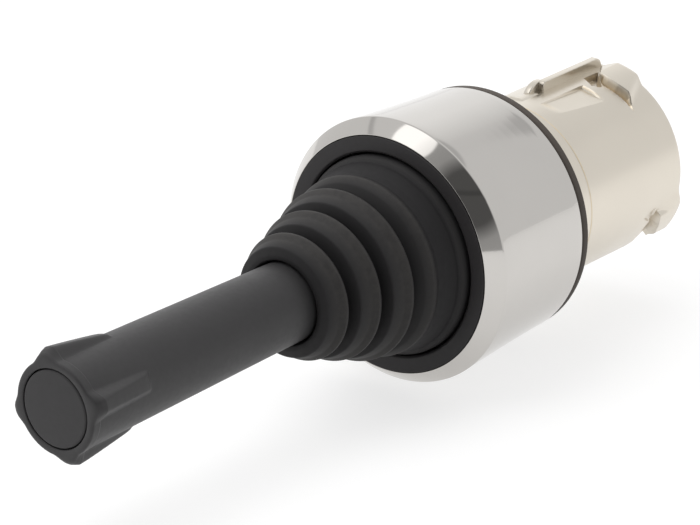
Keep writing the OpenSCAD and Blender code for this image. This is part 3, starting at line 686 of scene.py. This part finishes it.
class JOYSTICK_OT_collar(bpy.types.Operator):
    """Make the die-cast collar with its key, lugs and slots"""

    bl_idname = "joystick.collar"
    bl_label = "Collar"

    def execute(self, context):
        sizes = context.scene.joystick_sizes
        for piece in (collar_mesh(sizes), *key_meshes(sizes)):
            rigid(piece, "head", "satin_nickel_plate", "collar")
        return {"FINISHED"}


class JOYSTICK_OT_front(bpy.types.Operator):
    """Make the bezel, the gasket and the retaining ring"""

    bl_idname = "joystick.front"
    bl_label = "Bezel, gasket and ring"

    def execute(self, context):
        sides = context.scene.joystick_sizes.sides
        rigid(bezel_mesh(sides), "head", "polished_chrome_plate", "bezel")
        rigid(gasket_mesh(sides), "head", "brown_black_rubber", "gasket")
        rigid(ring_mesh(sides), "head", "black_ring_plastic", "retaining_ring")
        return {"FINISHED"}


class JOYSTICK_OT_boot(bpy.types.Operator):
    """Make the rubber boot in two halves, rear and front, that meet in its last valley"""

    bl_idname = "joystick.boot"
    bl_label = "Boot"

    def execute(self, context):
        sizes = context.scene.joystick_sizes
        near, far = boot_meshes(sizes, sizes.sides)
        for piece in (near, far):
            dress(piece, "black_boot_rubber")
            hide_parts("boot")
        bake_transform(far)
        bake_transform(near)
        return {"FINISHED"}


class JOYSTICK_OT_stick(bpy.types.Operator):
    """Make the ribbed stick and its end cap"""

    bl_idname = "joystick.stick"
    bl_label = "Stick"

    def execute(self, context):
        sizes = context.scene.joystick_sizes
        rigid(stick_mesh(sizes), "lever", "charcoal_grip_plastic", "stick")
        rigid(cap_mesh(), "lever", "charcoal_cap_plastic", "end_cap")
        return {"FINISHED"}


class JOYSTICK_OT_inside(bpy.types.Operator):
    """Finish the mechanism and make the plungers' springs"""

    bl_idname = "joystick.inside"
    bl_label = "Mechanism"

    def execute(self, context):
        for name, material in INSIDE_FINISH.items():
            dress(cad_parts[name], material)
        for side, x, z in PLUNGERS:
            coil = spring_mesh("coil_" + side, x, z)
            dress(coil, "ground_steel")
            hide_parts("spring_" + side)
            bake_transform(coil)
        return {"FINISHED"}


class JOYSTICK_OT_studio(bpy.types.Operator):
    """Make the camera, the lights, the room and the floor"""

    bl_idname = "joystick.studio"
    bl_label = "Studio"

    def execute(self, context):
        studio()
        return {"FINISHED"}


class JOYSTICK_PT_panel(bpy.types.Panel):
    """Shows the sizes, the colours and a button for each step."""

    bl_label = "Joystick Head"
    bl_space_type = "VIEW_3D"
    bl_region_type = "UI"
    bl_category = "Joystick"

    def draw(self, context):
        for group in (context.scene.joystick_sizes, context.scene.joystick_colours):
            for name in group.bl_rna.properties.keys():
                if name not in ("rna_type", "name"):
                    self.layout.prop(group, name)
        for operator in OPERATORS:
            self.layout.operator(operator.bl_idname)


OPERATORS = (JOYSTICK_OT_finishes, JOYSTICK_OT_collar, JOYSTICK_OT_front, JOYSTICK_OT_boot, JOYSTICK_OT_stick,
             JOYSTICK_OT_inside, JOYSTICK_OT_studio)
CLASSES = (JoystickSizes, JoystickColours) + OPERATORS + (JOYSTICK_PT_panel,)


# ------------------------------------------------------------------ studio
CAMERA_PLACE = (303.3, -398.0, 196.97)  # in mm, as are the next three
CAMERA_AIM = (-3.45, -19.13, -1.21)
FOCAL_LENGTH = 257.14
SENSOR_WIDTH = 36
FLOOR_HALF = 3.0  # in metres, as are the next and LIT_POINT
FLOOR_GAP = 0.0002
FLOOR_GLOW = 0.7  # light that the table gives off to the camera and to mirrors
LIT_POINT = (0, -0.02, 0)


def look(direction):
    """The rotation that points a lamp or camera along a direction."""
    return Vector(direction).to_track_quat("-Z", "Y").to_euler()


def area_light(name, place, size, power):
    """A square lamp, size in metres and power in watts, that no shiny surface mirrors."""
    data = bpy.data.lights.new(name, "AREA")
    data.energy = power
    data.size = size
    lamp = bpy.data.objects.new(name, data)
    bpy.context.scene.collection.objects.link(lamp)
    lamp.location = place
    lamp.rotation_euler = look(np.array(LIT_POINT, float) - np.array(place, float))
    lamp.visible_glossy = False


def room():
    """A pale room: a window behind on the left, a darker side where the viewer stands, a ceiling panel."""
    world = bpy.data.worlds.new("studio")
    bpy.context.scene.world = world
    world.use_nodes = True
    tree = world.node_tree
    tree.nodes.clear()
    path = node(tree, "ShaderNodeLightPath")
    coords = node(tree, "ShaderNodeTexCoord")
    split = node(tree, "ShaderNodeSeparateXYZ", {0: (coords, "Generated")})

    def towards(way):
        """1 straight towards a direction of the room, 0 at right angles to it."""
        return node(tree, "ShaderNodeVectorMath", {0: (coords, "Generated"), 1: way}, operation="DOT_PRODUCT")

    def zone(way, low, high, before, after):
        """A value that changes from before to after towards one direction of the room."""
        return remap(tree, (towards(way), "Value"), low, high, before, after)

    def join(a, b, operation):
        """Two values multiplied or added."""
        return node(tree, "ShaderNodeMath", {0: (a, 0), 1: (b, 0)}, operation=operation)

    window = zone((-0.6, 0.76, 0.25), 0.84, 0.98, 0.87, 1.16)
    viewer = ramp(tree, (towards((0.553, -0.603, 0.573)), "Value"),
                  [(0.62, 1.0), (0.76, 0.56), (0.87, 0.5), (0.945, 0.13)])
    panel = zone((-0.29, -0.41, 0.865), 0.964, 0.971, 0.0, 0.95)
    seam = ramp(tree, (split, 2), [(0.585, 1.0), (0.6, 0.7), (0.625, 0.74), (0.65, 1.0)])
    walls = join(join(window, viewer, "MULTIPLY"), seam, "MULTIPLY")
    total = join(walls, panel, "ADD")
    soft = node(tree, "ShaderNodeBackground", {"Color": (total, 0), "Strength": 1.0})
    white = node(tree, "ShaderNodeBackground", {"Color": (1, 1, 1, 1), "Strength": 1.0})
    both = node(tree, "ShaderNodeMixShader", {0: (path, "Is Camera Ray"), 1: (soft, 0), 2: (white, 0)})
    node(tree, "ShaderNodeOutputWorld", {0: (both, 0)})


def floor_plane():
    """A pale table just under the lowest point; what the camera and the metal see of it is near white."""
    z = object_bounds()[0][2] - FLOOR_GAP
    mesh = bpy.data.meshes.new("floor")
    s = FLOOR_HALF
    mesh.from_pydata([(-s, -s, z), (s, -s, z), (s, s, z), (-s, s, z)], [], [(0, 1, 2, 3)])
    floor = bpy.data.objects.new("floor", mesh)
    bpy.context.scene.collection.objects.link(floor)
    # matt painted board: shows a soft shadow and no texture
    pale = finish("pale_table", linear("#a4a4a4"), rough=0.95, bump=0.0, spread=0.004,
                  Emission_Color=(1, 1, 1, 1), Specular_IOR_Level=0.0)
    tree = pale.node_tree
    path = node(tree, "ShaderNodeLightPath")
    seen = node(tree, "ShaderNodeMath", {0: (path, "Is Camera Ray"), 1: (path, "Is Glossy Ray")},
                operation="MAXIMUM")
    glow = node(tree, "ShaderNodeMath", {0: (seen, 0), 1: FLOOR_GLOW}, operation="MULTIPLY")
    tree.links.new(glow.outputs[0], tree.nodes["Principled BSDF"].inputs["Emission Strength"])
    mesh.materials.append(pale)
    floor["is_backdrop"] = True


def studio():
    """The camera on the object's front right, the room, the table and two lamps."""
    scene = bpy.context.scene
    scene.view_settings.view_transform = "Standard"
    camera_data = bpy.data.cameras.new("camera")
    camera_data.lens = FOCAL_LENGTH
    camera_data.sensor_width = SENSOR_WIDTH
    camera_data.clip_end = 10
    camera = bpy.data.objects.new("camera", camera_data)
    scene.collection.objects.link(camera)
    place = np.array(CAMERA_PLACE) * MM
    aim = np.array(CAMERA_AIM) * MM
    camera.location = place
    camera.rotation_euler = look(aim - place)
    scene.camera = camera
    room()
    floor_plane()
    area_light("key", (-0.25, -0.3, 0.9), size=0.7, power=3.0)
    area_light("fill", (-0.7, 0.1, 0.5), size=0.6, power=1.5)


def register():
    """Registers the classes and hangs the sizes and colours on the scene."""
    for cls in CLASSES:
        bpy.utils.register_class(cls)
    bpy.types.Scene.joystick_sizes = bpy.props.PointerProperty(type=JoystickSizes)
    bpy.types.Scene.joystick_colours = bpy.props.PointerProperty(type=JoystickColours)


def unregister():
    """Takes away what register() added."""
    del bpy.types.Scene.joystick_colours
    del bpy.types.Scene.joystick_sizes
    for cls in reversed(CLASSES):
        bpy.utils.unregister_class(cls)


def main():
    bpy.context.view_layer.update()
    register()
    for operator in OPERATORS:
        getattr(bpy.ops.joystick, operator.bl_idname.split(".")[1])()


if __name__ == "__main__":
    main()
